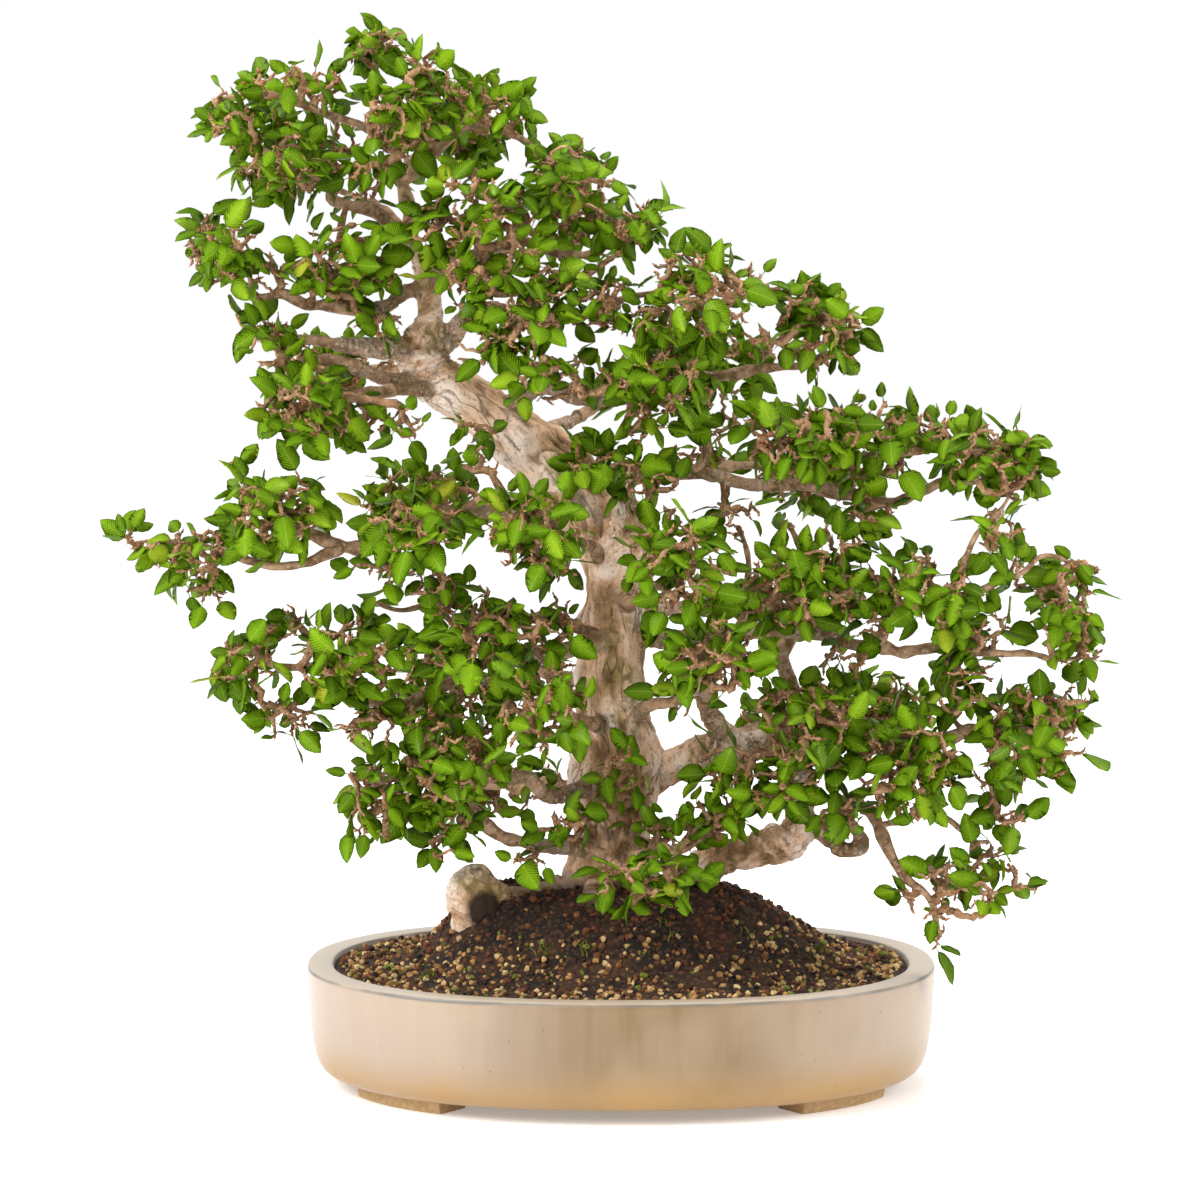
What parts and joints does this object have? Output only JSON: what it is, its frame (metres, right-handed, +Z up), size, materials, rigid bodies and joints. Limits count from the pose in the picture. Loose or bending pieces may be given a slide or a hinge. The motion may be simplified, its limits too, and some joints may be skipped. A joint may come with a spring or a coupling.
{
  "type": "korean hornbeam bonsai",
  "caption": "Leaning hornbeam bonsai with a pale trunk, layered horizontal branches and small toothed leaves, growing from a soil mound in a low oval footed stoneware pot.",
  "frame": {"origin": "on the ground at the bottom of the pot's feet, under the middle of the whole object's box", "axes": "+Z up along the trunk's height, +X to the right along the pot's length, -Y towards the tree's front"},
  "size_m": [0.7562, 0.387, 0.8069],
  "materials": {
    "stoneware": "satin cream glaze with ochre staining near the foot",
    "soil_grit": "coarse dark substrate with tan grains, matte",
    "bark": "pale pinkish-grey bark, matte, with moss in places",
    "leaf_green": "fresh green leaf, slightly glossy upper face",
    "screen_plastic": "dark plastic mesh"
  },
  "bodies": {
    "root": {"drain_screen_left": "screen_plastic", "drain_screen_right": "screen_plastic", "pot": "stoneware", "soil": "soil_grit", "spray_back_left": "leaf_green", "spray_back_low": "leaf_green", "spray_back_low_right": "leaf_green", "spray_back_middle_left": "leaf_green", "spray_back_middle_right": "leaf_green", "spray_back_right": "leaf_green", "spray_back_upper": "leaf_green", "spray_back_upper_left": "leaf_green", "spray_crown_back": "leaf_green", "spray_crown_back_left": "leaf_green", "spray_crown_back_right": "leaf_green", "spray_crown_front": "leaf_green", "spray_crown_left": "leaf_green", "spray_crown_left_tip": "leaf_green", "spray_crown_middle": "leaf_green", "spray_crown_right": "leaf_green", "spray_crown_right_high": "leaf_green", "spray_crown_right_tip": "leaf_green", "spray_crown_tip": "leaf_green", "spray_crown_top_left": "leaf_green", "spray_front_high": "leaf_green", "spray_front_left_middle": "leaf_green", "spray_front_low": "leaf_green", "spray_front_middle": "leaf_green", "spray_front_right_middle": "leaf_green", "spray_left_high": "leaf_green", "spray_left_high_tip": "leaf_green", "spray_left_upper_low": "leaf_green", "spray_left_upper_tip": "leaf_green", "spray_low_left": "leaf_green", "spray_low_left_tip": "leaf_green", "spray_lower_left": "leaf_green", "spray_lower_left_inner": "leaf_green", "spray_lower_left_tip": "leaf_green", "spray_lower_right_inner": "leaf_green", "spray_lower_right_tip": "leaf_green", "spray_lower_right_top": "leaf_green", "spray_lower_right_up": "leaf_green", "spray_massive_inner": "leaf_green", "spray_massive_middle": "leaf_green", "spray_massive_tip": "leaf_green", "spray_middle_right": "leaf_green", "spray_middle_right_tip": "leaf_green", "spray_mossy_inner": "leaf_green", "spray_mossy_middle": "leaf_green", "spray_mossy_tip": "leaf_green", "spray_right_drop": "leaf_green", "spray_right_fork": "leaf_green", "spray_upper_right_high": "leaf_green", "spray_upper_right_low": "leaf_green", "spray_upper_right_tip": "leaf_green", "wood": "bark"}
  },
  "joints": []
}
